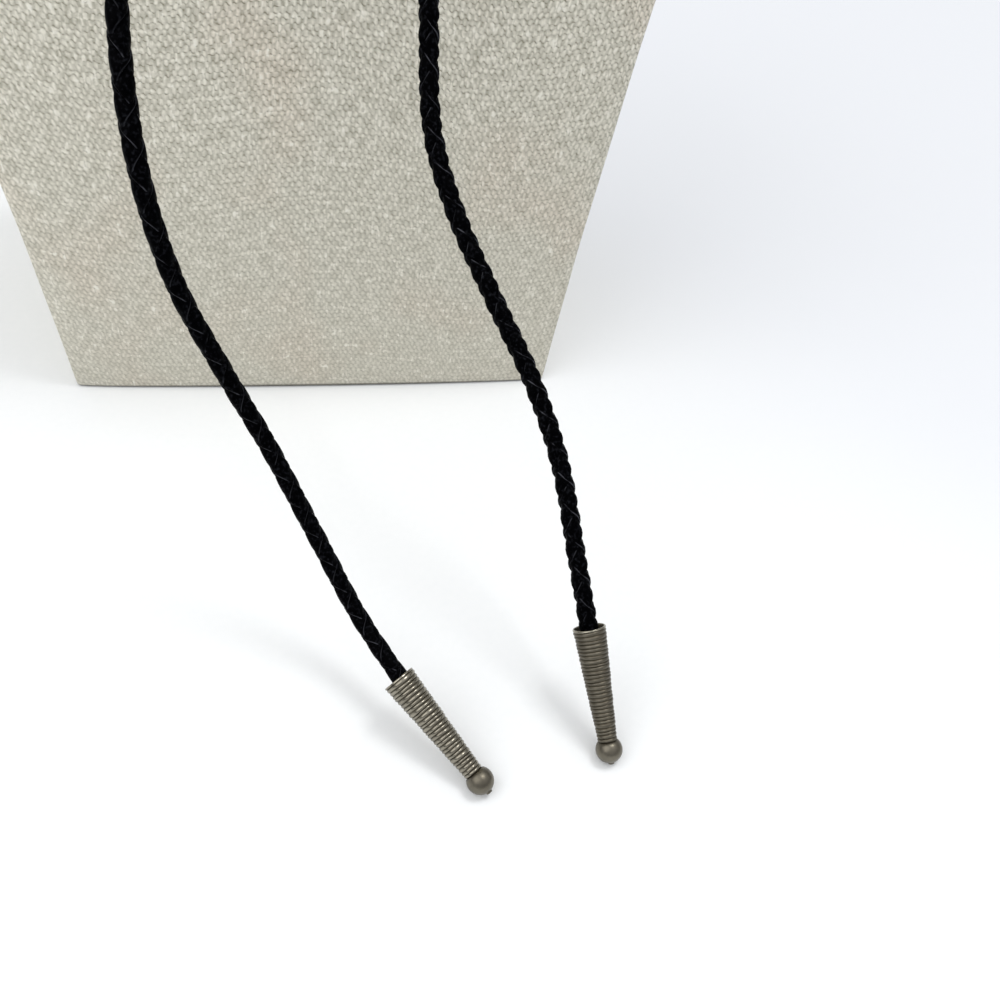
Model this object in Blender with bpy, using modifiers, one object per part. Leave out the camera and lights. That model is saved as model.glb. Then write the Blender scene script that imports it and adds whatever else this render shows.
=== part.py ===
"""Bolo tie hung on a linen-covered neck bust, modelled in metres with +Z up.

The front of the bust looks along -Y. The origin is on the floor, under the middle of the bust.
One braided leather cord runs from the left tip up through the slide, round the neck, down
through the slide again and out to the right tip. Both tips touch the floor with their balls.
"""
import math

import bmesh
import bpy
from mathutils import Vector

# Bust sizes
BUST_HEIGHT = 0.335
SHOULDER_HEIGHT = 0.222
BASE_WIDTH = 0.146
SHOULDER_WIDTH = 0.212
BUST_DEPTH = 0.112
BASE_TURN = 0.0007

# How far the middle of the chest leans back, and how far its side edges lie behind its middle
CHEST_LEAN = 0.026
CHEST_BOW = 0.022
BACK_BOW = 0.008

# Neck sizes
NECK_WIDTH = 0.0906
NECK_DEPTH = 0.074
NECK_STRAIGHT = 0.002
NECK_TOP_ROUND = 0.003

# Cord, and the gaps that pieces keep to what they touch
CORD_DIAMETER = 0.0045
SEAT_GAP = 0.0003
CORD_END_GAP = 0.0004
CHANNEL_CLEARANCE = 0.0005
SOCKET_CLEARANCE = 0.0005

# Tip sizes
TIP_LENGTH = 0.03335
TIP_MOUTH_DIAMETER = 0.0080
TIP_MOUTH_WALL = 0.0007
TIP_RIM = 0.0014
TIP_NECK_DIAMETER = 0.0047
TIP_BALL_DIAMETER = 0.0065
TIP_FUNNEL_DEPTH = 0.004
TIP_NUB_DIAMETER = 0.0016
TIP_NUB_HEIGHT = 0.0003
RIB_COUNT = 28
RIB_DEPTH = 0.00025

# Slide sizes
SLIDE_WIDTH = 0.030
SLIDE_HEIGHT = 0.040
SLIDE_PLATE = 0.003
SLIDE_EDGE = 0.001
SLIDE_OVERLAP = 0.00075
SLIDE_BAR_HEIGHT = 0.010
SLIDE_CHANNEL_WALL = 0.0012
CHANNEL_SPACING = 0.0097

# Mesh fineness
FRONT_STEPS = 22
BACK_STEPS = 14
TURN_STEPS = 16
BALL_STEPS = 9
PLATE_STEPS = 40
EDGE_STEPS = 2
CORD_STEPS_PER_SPAN = 2
CORD_STEPS_PER_QUARTER = 3
MERGE_DISTANCE = 1e-5
FOLD_ANGLE = math.radians(40)
EDGE_ANGLE = math.radians(60)

# Chest sections from the base to the shoulders. up is a share of SHOULDER_HEIGHT, wide of the
# way from BASE_WIDTH to SHOULDER_WIDTH, lean of CHEST_LEAN and bow of CHEST_BOW.
#   up     wide   lean   bow
CHEST_ROWS = [
    (0.000, 0.00, 0.00, 0.09),
    (0.075, 0.05, 0.01, 0.15),
    (0.150, 0.115, 0.04, 0.22),
    (0.225, 0.18, 0.08, 0.285),
    (0.300, 0.26, 0.13, 0.35),
    (0.375, 0.345, 0.20, 0.415),
    (0.455, 0.44, 0.29, 0.48),
    (0.530, 0.545, 0.385, 0.55),
    (0.610, 0.665, 0.485, 0.62),
    (0.690, 0.785, 0.59, 0.695),
    (0.770, 0.885, 0.695, 0.77),
    (0.850, 0.96, 0.80, 0.85),
    (0.930, 1.00, 0.905, 0.93),
    (1.000, 1.00, 1.00, 1.00),
]

# Neckline sections from the shoulders to the top. up is a share of the height left above the
# shoulders, wide of the way from NECK_WIDTH to SHOULDER_WIDTH, lean of the way from CHEST_LEAN
# to the front of the neck and bow of the way from CHEST_BOW or BACK_BOW to half the neck's
# depth, less half of NECK_STRAIGHT, the short straight stretch on each side of the neck.
#   up     wide   lean   bow
NECKLINE_ROWS = [
    (0.060, 0.975, 0.07, 0.07),
    (0.120, 0.915, 0.14, 0.16),
    (0.185, 0.82, 0.22, 0.29),
    (0.245, 0.70, 0.32, 0.44),
    (0.305, 0.55, 0.44, 0.60),
    (0.365, 0.40, 0.58, 0.75),
    (0.425, 0.255, 0.72, 0.87),
    (0.490, 0.13, 0.85, 0.95),
    (0.560, 0.05, 0.94, 0.99),
    (0.650, 0.01, 0.99, 1.00),
    (0.800, 0.00, 1.00, 1.00),
]

# The cord's centre line, chosen by hand: left tip, left leg, slide, round the neck, slide,
# right leg, right tip
LEFT_LEG = [
    (0.0190, -0.1790, 0.0122),
    (0.0072, -0.1612, 0.0206),
    (-0.0021, -0.1489, 0.0361),
    (-0.0117, -0.1385, 0.0554),
    (-0.0205, -0.1315, 0.0726),
    (-0.0284, -0.1258, 0.0913),
    (-0.0326, -0.1198, 0.1137),
    (-0.0335, -0.1075, 0.1360),
    (-0.0310, -0.0915, 0.1540),
    (-0.0250, -0.0735, 0.1715),
    (-0.0155, -0.0555, 0.1880),
    (-0.0075, -0.0415, 0.2025),
]
LEFT_CHANNEL = [
    (-0.0053, -0.0348, 0.2180),
    (-0.0053, -0.0322, 0.2380),
]
NECK_LOOP = [
    (-0.0130, -0.0277, 0.2555),
    (-0.0300, -0.0197, 0.2712),
    (-0.0470, -0.0033, 0.2810),
    (-0.0525, 0.0200, 0.2850),
    (-0.0440, 0.0400, 0.2860),
    (-0.0260, 0.0533, 0.2870),
    (0.0000, 0.0588, 0.2875),
    (0.0260, 0.0533, 0.2870),
    (0.0440, 0.0400, 0.2860),
    (0.0525, 0.0200, 0.2850),
    (0.0470, -0.0033, 0.2810),
    (0.0300, -0.0197, 0.2712),
    (0.0130, -0.0277, 0.2555),
]
RIGHT_CHANNEL = [
    (0.0053, -0.0322, 0.2380),
    (0.0053, -0.0348, 0.2180),
]
RIGHT_LEG = [
    (0.0085, -0.0400, 0.1980),
    (0.0170, -0.0480, 0.1755),
    (0.0235, -0.0605, 0.1515),
    (0.0255, -0.0738, 0.1285),
    (0.0260, -0.0880, 0.1068),
    (0.0308, -0.1002, 0.0925),
    (0.0391, -0.1140, 0.0787),
    (0.0478, -0.1280, 0.0654),
    (0.0540, -0.1422, 0.0517),
    (0.0575, -0.1580, 0.0361),
    (0.0612, -0.1743, 0.0193),
]
ROUTE = LEFT_LEG + LEFT_CHANNEL + NECK_LOOP + RIGHT_CHANNEL + RIGHT_LEG

# Where the balls of the tips stand on the floor
LEFT_BALL_FOOT = (0.0325, -0.1956)
RIGHT_BALL_FOOT = (0.0645, -0.1906)


def material(name, colour, roughness, metallic=0.0):
    """A Principled material of one colour."""
    made = bpy.data.materials.new(name)
    made.use_nodes = True
    shader = made.node_tree.nodes["Principled BSDF"]
    shader.inputs["Base Color"].default_value = (*colour, 1.0)
    shader.inputs["Roughness"].default_value = roughness
    shader.inputs["Metallic"].default_value = metallic
    made.diffuse_color = (*colour, 1.0)
    return made


def add_object(name, data, collection, finish=None):
    """An object for a mesh or a curve, linked to a collection."""
    item = bpy.data.objects.new(name, data)
    collection.objects.link(item)
    if finish:
        data.materials.append(finish)
    return item


def mesh_from(bm, name):
    """A mesh made from a bmesh, which is freed."""
    mesh = bpy.data.meshes.new(name)
    bm.to_mesh(mesh)
    bm.free()
    return mesh


def between(start, end, share):
    """The value a share of the way from start to end."""
    return start + (end - start) * share


def bust_sections():
    """Height, half width, face, bow and back bow of each section, from the floor up."""
    front = -BUST_DEPTH / 2
    neck_front = BUST_DEPTH / 2 - NECK_DEPTH
    neck_bow = (NECK_DEPTH - NECK_STRAIGHT) / 2
    sections = []
    for up, wide, lean, bow in CHEST_ROWS:
        sections.append((
            up * SHOULDER_HEIGHT,
            between(BASE_WIDTH, SHOULDER_WIDTH, wide) / 2,
            front + lean * CHEST_LEAN,
            bow * CHEST_BOW,
            BACK_BOW,
        ))
    for up, wide, lean, bow in NECKLINE_ROWS:
        sections.append((
            between(SHOULDER_HEIGHT, BUST_HEIGHT, up),
            between(NECK_WIDTH, SHOULDER_WIDTH, wide) / 2,
            between(front + CHEST_LEAN, neck_front, lean),
            between(CHEST_BOW, neck_bow, bow),
            between(BACK_BOW, neck_bow, bow),
        ))
    up, half, face, bow, back_bow = sections[-1]
    sections.append((BUST_HEIGHT - NECK_TOP_ROUND, half, face, bow, back_bow))
    return sections


def face_at(height):
    """How far back the middle of the bust's face lies at a height."""
    sections = bust_sections()
    for low, high in zip(sections, sections[1:]):
        if low[0] <= height <= high[0]:
            return between(low[2], high[2], (height - low[0]) / (high[0] - low[0]))
    return sections[-1][2]


def section_ring(bm, section, inset=0.0, height=None):
    """One level ring: half an ellipse across the front and half an ellipse across the back."""
    up, half, face, bow, back_bow = section
    # The bows shrink with the width, so that the two half ellipses never overlap.
    shrink = 1 - inset / half
    bow *= shrink
    back_bow *= shrink
    half -= inset
    face += inset
    back = BUST_DEPTH / 2 - inset
    if height is not None:
        up = height
    ring = []
    for step in range(FRONT_STEPS + 1):
        turn = math.pi * step / FRONT_STEPS
        ring.append((-half * math.cos(turn), face + bow * (1 - math.sin(turn))))
    for step in range(BACK_STEPS + 1):
        turn = math.pi * step / BACK_STEPS
        ring.append((half * math.cos(turn), back - back_bow * (1 - math.sin(turn))))
    return [bm.verts.new((x, y, up)) for x, y in ring]


def make_bust(collection, finish):
    """The display form: level sections lofted from the flat base to the flat neck top."""
    bm = bmesh.new()
    sections = bust_sections()
    rings = [section_ring(bm, sections[0], BASE_TURN)]
    rings.append(section_ring(bm, sections[0], 0.0, BASE_TURN))
    rings.extend(section_ring(bm, section) for section in sections[1:])
    rings.append(section_ring(bm, sections[-1], NECK_TOP_ROUND, BUST_HEIGHT))
    for low, high in zip(rings, rings[1:]):
        for here in range(len(low)):
            there = (here + 1) % len(low)
            bm.faces.new((low[here], low[there], high[there], high[here]))
    bm.faces.new(reversed(rings[0]))
    bm.faces.new(rings[-1])
    bmesh.ops.recalc_face_normals(bm, faces=bm.faces)
    mesh = mesh_from(bm, "bust")
    mesh.shade_smooth()
    mesh.set_sharp_from_angle(angle=FOLD_ANGLE)
    return add_object("bust", mesh, collection, finish)


def smooth_route(points, steps):
    """Points along a smooth curve that passes through every route point."""
    route = [Vector(point) for point in points]
    route.insert(0, 2 * route[0] - route[1])
    route.append(2 * route[-1] - route[-2])
    curve = []
    for before, start, end, after in zip(route, route[1:], route[2:], route[3:]):
        for step in range(steps):
            t = step / steps
            curve.append(
                start
                + 0.5 * t * (end - before)
                + t ** 2 * (before - 2.5 * start + 2 * end - 0.5 * after)
                + t ** 3 * (-0.5 * before + 1.5 * start - 1.5 * end + 0.5 * after)
            )
    curve.append(route[-2])
    return curve


def make_cord(collection, finish):
    """The braided cord as one round tube from socket to socket."""
    points = smooth_route(ROUTE, CORD_STEPS_PER_SPAN)
    curve = bpy.data.curves.new("braided_cord", "CURVE")
    curve.dimensions = "3D"
    curve.bevel_depth = CORD_DIAMETER / 2
    curve.bevel_resolution = CORD_STEPS_PER_QUARTER
    curve.use_fill_caps = True
    spline = curve.splines.new("POLY")
    spline.points.add(len(points) - 1)
    for spot, point in zip(spline.points, points):
        spot.co = (*point, 1.0)
    return add_object("braided_cord", curve, collection, finish)


def tip_profile(socket_depth):
    """Radius and height pairs: up the socket, over the rim, down the ribs and round the ball."""
    mouth = TIP_MOUTH_DIAMETER / 2
    neck = TIP_NECK_DIAMETER / 2
    ball = TIP_BALL_DIAMETER / 2
    bore = CORD_DIAMETER / 2 + SOCKET_CLEARANCE
    ball_centre = ball - TIP_LENGTH
    neck_turn = math.asin(neck / ball)
    nub_turn = math.asin(TIP_NUB_DIAMETER / 2 / ball)
    neck_height = ball_centre + ball * math.cos(neck_turn)
    profile = [
        (0.0, -socket_depth),
        (bore, -socket_depth),
        (bore, -TIP_FUNNEL_DEPTH),
        (mouth - TIP_MOUTH_WALL, 0.0),
        (mouth, 0.0),
        (mouth, -TIP_RIM),
    ]
    pitch = (-TIP_RIM - neck_height) / RIB_COUNT
    for rib in range(RIB_COUNT):
        start = rib / RIB_COUNT
        middle = (rib + 0.5) / RIB_COUNT
        top = -TIP_RIM - rib * pitch
        if rib:
            profile.append((between(mouth, neck, start) - RIB_DEPTH, top))
        profile.append((between(mouth, neck, middle), top - pitch / 2))
    for step in range(BALL_STEPS + 1):
        turn = between(neck_turn, math.pi - nub_turn, step / BALL_STEPS)
        profile.append((ball * math.sin(turn), ball_centre + ball * math.cos(turn)))
    nub = TIP_NUB_DIAMETER / 2
    profile.append((nub, -TIP_LENGTH - TIP_NUB_HEIGHT))
    profile.append((0.0, -TIP_LENGTH - TIP_NUB_HEIGHT))
    return profile


def make_tip(name, ball_foot, cord_end, collection, finish):
    """A cast ribbed tip, turned about its own axis, with its ball on the floor."""
    ball_centre = Vector((*ball_foot, TIP_BALL_DIAMETER / 2))
    to_ball = ball_centre - Vector(cord_end)
    mouth_to_ball = TIP_LENGTH - TIP_BALL_DIAMETER / 2
    socket_depth = mouth_to_ball - to_ball.length + CORD_END_GAP
    bm = bmesh.new()
    spots = [bm.verts.new((radius, 0.0, height)) for radius, height in tip_profile(socket_depth)]
    for here, there in zip(spots, spots[1:]):
        bm.edges.new((here, there))
    tip = add_object(name, mesh_from(bm, name), collection, finish)
    screw = tip.modifiers.new("Turned", "SCREW")
    screw.steps = TURN_STEPS
    screw.render_steps = TURN_STEPS
    screw.use_merge_vertices = True
    screw.merge_threshold = MERGE_DISTANCE
    screw.use_smooth_shade = True
    tip.location = ball_centre - to_ball.normalized() * mouth_to_ball
    tip.rotation_mode = "QUATERNION"
    tip.rotation_quaternion = to_ball.to_track_quat("-Z", "Y")
    return tip


def hidden_shape(name, data, collection, parent):
    """A shape that only another piece's Boolean uses."""
    item = add_object(name, data, collection)
    item.parent = parent
    item.hide_render = True
    item.display_type = "WIRE"
    return item


def boolean(item, operation, operand):
    """An exact Boolean modifier."""
    change = item.modifiers.new(operand.name, "BOOLEAN")
    change.operation = operation
    change.object = operand
    change.solver = "EXACT"


def box_mesh(name, size, centre):
    """A box of a size about a centre."""
    bm = bmesh.new()
    bmesh.ops.create_cube(bm, size=1.0)
    bmesh.ops.scale(bm, vec=size, verts=bm.verts)
    bmesh.ops.translate(bm, vec=centre, verts=bm.verts)
    return mesh_from(bm, name)


def make_slide(collection, cutters, finish):
    """A plain oval slide: a bevelled plate on a bar with two channels for the cord."""
    ends = [Vector(point) for point in LEFT_CHANNEL + RIGHT_CHANNEL]
    centre = sum(ends, Vector()) / len(ends)
    rise = ends[1] - ends[0]
    lean = math.atan2(rise.y, rise.z)
    channel = CORD_DIAMETER / 2 + CHANNEL_CLEARANCE
    bar_half = channel + SLIDE_CHANNEL_WALL
    bar_back = (face_at(centre.z) - centre.y) * math.cos(lean) - SEAT_GAP
    bm = bmesh.new()
    bmesh.ops.create_cone(
        bm, cap_ends=True, segments=PLATE_STEPS, radius1=0.5, radius2=0.5, depth=SLIDE_PLATE
    )
    bmesh.ops.scale(bm, vec=(SLIDE_WIDTH, SLIDE_HEIGHT, 1.0), verts=bm.verts)
    turn = Vector((0.0, 0.0, 1.0)).rotation_difference(Vector((0.0, -1.0, 0.0))).to_matrix()
    bmesh.ops.rotate(bm, cent=(0, 0, 0), matrix=turn, verts=bm.verts)
    bmesh.ops.translate(bm, vec=(0, -bar_half - SLIDE_PLATE / 2, 0), verts=bm.verts)
    slide = add_object("slide", mesh_from(bm, "slide"), collection, finish)
    edge = slide.modifiers.new("Rounded edge", "BEVEL")
    edge.width = SLIDE_EDGE
    edge.segments = EDGE_STEPS
    edge.limit_method = "ANGLE"
    edge.angle_limit = EDGE_ANGLE

    bar_width = CHANNEL_SPACING + 2 * bar_half
    bar_front = -bar_half - SLIDE_OVERLAP
    bar = box_mesh(
        "slide_bar",
        (bar_width, bar_back - bar_front, SLIDE_BAR_HEIGHT),
        (0.0, (bar_back + bar_front) / 2, 0.0),
    )
    boolean(slide, "UNION", hidden_shape("slide_bar", bar, cutters, slide))
    for side, sign in (("left", -1), ("right", 1)):
        name = f"slide_channel_{side}"
        bm = bmesh.new()
        bmesh.ops.create_cone(
            bm, cap_ends=True, segments=TURN_STEPS, radius1=channel, radius2=channel,
            depth=2 * SLIDE_BAR_HEIGHT,
        )
        bmesh.ops.translate(bm, vec=(sign * CHANNEL_SPACING / 2, 0, 0), verts=bm.verts)
        hole = hidden_shape(name, mesh_from(bm, name), cutters, slide)
        boolean(slide, "DIFFERENCE", hole)

    slide.location = centre
    slide.rotation_euler = (-lean, 0.0, 0.0)
    return slide


def build():
    for item in list(bpy.data.objects):
        bpy.data.objects.remove(item, do_unlink=True)
    parts = bpy.data.collections.new("Bolo tie on a linen neck bust")
    cutters = bpy.data.collections.new("Cutters")
    for collection in (parts, cutters):
        bpy.context.scene.collection.children.link(collection)

    linen = material("Greige linen", (0.52, 0.50, 0.43), 0.9)
    leather = material("Black braided leather", (0.006, 0.006, 0.007), 0.45)
    pewter = material("Antique pewter", (0.22, 0.20, 0.17), 0.4, 1.0)
    plate = material("Dark nickel", (0.25, 0.24, 0.22), 0.35, 1.0)

    make_bust(parts, linen)
    make_cord(parts, leather)
    make_slide(parts, cutters, plate)
    make_tip("tip_left", LEFT_BALL_FOOT, ROUTE[0], parts, pewter)
    make_tip("tip_right", RIGHT_BALL_FOOT, ROUTE[-1], parts, pewter)


build()
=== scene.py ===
# %% [markdown]
# # A bolo tie on a linen neck bust
# A bolo tie is a single cord of braided leather with a metal tip on each end and a slide that
# gathers it at the throat. This one hangs on a linen-covered display bust. The lesson dresses a
# plain CAD model of it: the solids give every size and place, and each cell below makes one
# piece or one finish that stands exactly where its solid is.

# %% Load the fixed frame
import math

import bmesh
import bpy
import numpy as np
from mathutils import Matrix, Vector, noise


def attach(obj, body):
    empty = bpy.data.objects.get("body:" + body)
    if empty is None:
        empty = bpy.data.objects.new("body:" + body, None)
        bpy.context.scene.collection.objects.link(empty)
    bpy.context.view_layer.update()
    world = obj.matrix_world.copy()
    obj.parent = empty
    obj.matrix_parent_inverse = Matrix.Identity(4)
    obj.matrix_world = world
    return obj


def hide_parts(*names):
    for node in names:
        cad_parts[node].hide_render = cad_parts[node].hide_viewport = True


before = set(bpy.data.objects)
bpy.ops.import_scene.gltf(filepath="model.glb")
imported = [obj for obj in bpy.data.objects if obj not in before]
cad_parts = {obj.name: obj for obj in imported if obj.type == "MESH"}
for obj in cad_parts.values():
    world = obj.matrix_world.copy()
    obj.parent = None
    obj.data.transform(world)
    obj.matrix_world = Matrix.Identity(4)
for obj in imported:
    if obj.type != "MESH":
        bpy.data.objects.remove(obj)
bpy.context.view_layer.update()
print("CAD nodes:", sorted(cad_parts))

# %% [markdown]
# ## Camera
# The picture is square and looks down on the tie from about 48 degrees above the floor. Two
# directions fix such a view: where the lens looks, and which way is right in the picture. The
# third follows from them, so the camera's rotation is a matrix of three columns. A camera that
# tracks an empty would be simpler, but it can't hold the small roll that this view has.

# %% Camera
CAMERA_SPOT = Vector((-0.0017, -0.2947, 0.2136))
CAMERA_LOOK = Vector((0.1818, 0.6494, -0.7390)).normalized()
CAMERA_RIGHT = Vector((0.9827, -0.1478, 0.1120)).normalized()

camera_up = CAMERA_RIGHT.cross(CAMERA_LOOK).normalized()
camera_data = bpy.data.cameras.new("Camera")
camera_data.sensor_width = 36.0
camera_data.lens = 35.3
camera_data.clip_start = 0.01
camera = bpy.data.objects.new("Camera", camera_data)
camera_turn = Matrix((CAMERA_RIGHT, camera_up, -CAMERA_LOOK)).transposed()
camera.matrix_world = Matrix.Translation(CAMERA_SPOT) @ camera_turn.to_4x4()
bpy.context.scene.collection.objects.link(camera)
bpy.context.scene.camera = camera
print("camera looks down by", round(math.degrees(math.asin(-CAMERA_LOOK.z)), 1), "degrees")

# %% [markdown]
# ## Helpers
# Most cells need the same steps: turn a hex colour into Blender's linear numbers, add one node
# with its settings and links, and turn a bmesh into a finished object. A mesh is written with
# its place already in its vertices, so each object stays at the origin, unturned and unscaled,
# and a pattern on Object coordinates stays put.


# %% Node helpers
def linear(hex_colour):
    """An sRGB hex colour as linear red, green, blue and alpha."""
    parts = [int(hex_colour[i:i + 2], 16) / 255 for i in (1, 3, 5)]
    return [p / 12.92 if p <= 0.04045 else ((p + 0.055) / 1.055) ** 2.4 for p in parts] + [1.0]


def connect(material, node, inputs):
    """Fills a node's inputs, each with a value or with another node's output."""
    for name, value in inputs.items():
        if isinstance(value, bpy.types.NodeSocket):
            material.node_tree.links.new(value, node.inputs[name])
        else:
            node.inputs[name].default_value = value


def add(material, kind, settings=None, inputs=None):
    """One shader node with its settings and inputs."""
    made = material.node_tree.nodes.new(kind)
    for name, value in (settings or {}).items():
        setattr(made, name, value)
    connect(material, made, inputs or {})
    return made


def start_material(name):
    """A material with its Principled shader, ready for nodes."""
    material = bpy.data.materials.new(name)
    material.use_nodes = True
    return material, material.node_tree.nodes["Principled BSDF"]


print("black is", linear("#000000"), "and white is", linear("#FFFFFF"))

# %% Mesh helpers
MERGE_DISTANCE = 1e-7


def make_object(bm, name, material):
    """Writes a bmesh to a new object at the origin, and frees the bmesh."""
    mesh = bpy.data.meshes.new(name)
    bm.to_mesh(mesh)
    bm.free()
    mesh.materials.append(material)
    made = bpy.data.objects.new(name, mesh)
    bpy.context.scene.collection.objects.link(made)
    return made


def finish_piece(bm, name, material, angle=None):
    """A piece that rides on the body, smooth but for folds sharper than an angle in degrees."""
    piece = make_object(bm, name, material)
    mesh = piece.data
    mesh.shade_smooth()
    if angle:
        mesh.set_sharp_from_angle(angle=math.radians(angle))
    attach(piece, "root")
    mesh.calc_loop_triangles()
    print(name, "has", len(mesh.loop_triangles), "triangles")
    return piece


def between(start, end, share):
    """The value a share of the way from start to end."""
    return start + (end - start) * share


print("points closer than", round(MERGE_DISTANCE * 1e6, 3), "micrometres are merged")

# %% [markdown]
# ## The cord's route
# The cord leaves the left tip, climbs past the chest, goes through the slide and round the neck,
# comes back through the slide and hangs down to the right tip. Its route points are the CAD
# model's own, in metres. A curve that passes through every point keeps the bends soft, and then
# it is cut into equal steps, so that the braid has the same pitch everywhere.

# %% Cord route
CORD_DIAMETER = 0.0045
LEFT_LEG = [
    (0.0190, -0.1790, 0.0122),
    (0.0072, -0.1612, 0.0206),
    (-0.0021, -0.1489, 0.0361),
    (-0.0117, -0.1385, 0.0554),
    (-0.0205, -0.1315, 0.0726),
    (-0.0284, -0.1258, 0.0913),
    (-0.0326, -0.1198, 0.1137),
    (-0.0335, -0.1075, 0.1360),
    (-0.0310, -0.0915, 0.1540),
    (-0.0250, -0.0735, 0.1715),
    (-0.0155, -0.0555, 0.1880),
    (-0.0075, -0.0415, 0.2025),
]
LEFT_CHANNEL = [
    (-0.0053, -0.0348, 0.2180),
    (-0.0053, -0.0322, 0.2380),
]
NECK_LOOP = [
    (-0.0130, -0.0277, 0.2555),
    (-0.0300, -0.0197, 0.2712),
    (-0.0470, -0.0033, 0.2810),
    (-0.0525, 0.0200, 0.2850),
    (-0.0440, 0.0400, 0.2860),
    (-0.0260, 0.0533, 0.2870),
    (0.0000, 0.0588, 0.2875),
    (0.0260, 0.0533, 0.2870),
    (0.0440, 0.0400, 0.2860),
    (0.0525, 0.0200, 0.2850),
    (0.0470, -0.0033, 0.2810),
    (0.0300, -0.0197, 0.2712),
    (0.0130, -0.0277, 0.2555),
]
RIGHT_CHANNEL = [
    (0.0053, -0.0322, 0.2380),
    (0.0053, -0.0348, 0.2180),
]
RIGHT_LEG = [
    (0.0085, -0.0400, 0.1980),
    (0.0170, -0.0480, 0.1755),
    (0.0235, -0.0605, 0.1515),
    (0.0255, -0.0738, 0.1285),
    (0.0260, -0.0880, 0.1068),
    (0.0308, -0.1002, 0.0925),
    (0.0391, -0.1140, 0.0787),
    (0.0478, -0.1280, 0.0654),
    (0.0540, -0.1422, 0.0517),
    (0.0575, -0.1580, 0.0361),
    (0.0612, -0.1743, 0.0193),
]
ROUTE = LEFT_LEG + LEFT_CHANNEL + NECK_LOOP + RIGHT_CHANNEL + RIGHT_LEG
print("the route has", len(ROUTE), "points")

# %% Even steps along the cord
ROUTE_STEPS = 24
STEP = 0.00075


def smooth(points, steps):
    """Rows along a curve that passes through every given row."""
    rows = np.array(points, float)
    rows = np.vstack([2 * rows[0] - rows[1], rows, 2 * rows[-1] - rows[-2]])
    curve = []
    for before, start, end, after in zip(rows, rows[1:], rows[2:], rows[3:]):
        for step in range(steps):
            t = step / steps
            curve.append(
                start
                + 0.5 * t * (end - before)
                + t ** 2 * (before - 2.5 * start + 2 * end - 0.5 * after)
                + t ** 3 * (-0.5 * before + 1.5 * start - 1.5 * end + 0.5 * after)
            )
    curve.append(rows[-2])
    return np.array(curve)


def run_lengths(curve):
    """The length of the curve up to each of its points."""
    return np.concatenate([[0.0], np.cumsum(np.linalg.norm(np.diff(curve, axis=0), axis=1))])


fine_route = smooth(ROUTE, ROUTE_STEPS)
reach = run_lengths(fine_route)
CORD_LENGTH = float(reach[-1])
even = np.arange(0.0, CORD_LENGTH, STEP)
centre_line = np.column_stack([np.interp(even, reach, fine_route[:, axis]) for axis in range(3)])
print("cord length in mm:", round(CORD_LENGTH * 1000, 1), "in", len(even), "steps")

# %% [markdown]
# ## Directions along the cord
# To braid round a bent line, each point of it needs two side directions that turn with the bend
# but don't spin about the line. Carrying the last side direction along and taking away what no
# longer stands square to the line does that, and leaves no twist at a bend.

# %% Side directions
tangents = np.gradient(centre_line, axis=0)
tangents /= np.linalg.norm(tangents, axis=1)[:, None]
side = np.cross(tangents[0], (0.0, 0.0, 1.0))
sides = []
for tangent in tangents:
    side = side - tangent * side.dot(tangent)
    side /= np.linalg.norm(side)
    sides.append(side)
sides = np.array(sides)
others = np.cross(tangents, sides)
print("the side direction turns by", round(math.degrees(math.acos(sides[0].dot(sides[-1]))), 1))

# %% [markdown]
# ## Black leather lace
# The real laces are chrome-tanned cowhide, cut about 4 mm wide, dyed black through and finished
# with a little wax. To the eye that is a deep black that swallows most light, with a faint soft
# gloss, a fine grain that breaks the gloss up, and thin paler lines at the cut edges, which are
# partly rubbed leather and partly painted highlights. The lace's own UV map runs round its
# section and along its length, so the rubbed and highlit edges follow the lace through the
# braid.

# %% Leather material
leather, shader = start_material("Black waxed cowhide lace")
uv = add(leather, "ShaderNodeUVMap", {"uv_map": "Lace"}).outputs["UV"]
place = add(leather, "ShaderNodeTexCoord").outputs["Object"]
# Leather grain cells are about 0.25 mm wide, so 4000 cells to the metre.
grain = add(leather, "ShaderNodeTexVoronoi", {"feature": "DISTANCE_TO_EDGE"},
            {"Vector": place, "Scale": 4000.0}).outputs["Distance"]
# Wax lies in patches some 3 mm long.
patches = add(leather, "ShaderNodeTexNoise", None,
              {"Vector": place, "Scale": 330.0, "Detail": 3.0}).outputs["Fac"]
split = add(leather, "ShaderNodeSeparateXYZ", None, {"Vector": uv})
# One cut edge lies where the lace's grid closes, and the other half way round the section.
around = add(leather, "ShaderNodeMath", {"operation": "MULTIPLY"},
             {0: split.outputs["X"], 1: 4 * math.pi}).outputs["Value"]
edge_wave = add(leather, "ShaderNodeMath", {"operation": "COSINE"}, {0: around}).outputs["Value"]
edge = add(leather, "ShaderNodeMapRange", None,
           {"Value": edge_wave, "From Min": 0.87, "From Max": 0.99}).outputs["Result"]
rub_and_highlight_mask = add(leather, "ShaderNodeMapRange", None,
          {"Value": patches, "From Min": 0.4, "From Max": 0.58}).outputs["Result"]
# The braid's own attribute says how strongly each lace's edges are rubbed and painted with
# highlight lines.
rub_and_highlight = add(leather, "ShaderNodeAttribute", {"attribute_name": "rub_and_highlight"}).outputs["Fac"]
rub_and_highlight_mask = add(leather, "ShaderNodeMath", {"operation": "MULTIPLY"},
          {0: rub_and_highlight_mask, 1: rub_and_highlight}).outputs["Value"]
rubbed_and_highlit_edge = add(leather, "ShaderNodeMath", {"operation": "MULTIPLY"},
           {0: edge, 1: rub_and_highlight_mask}).outputs["Value"]
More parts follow.
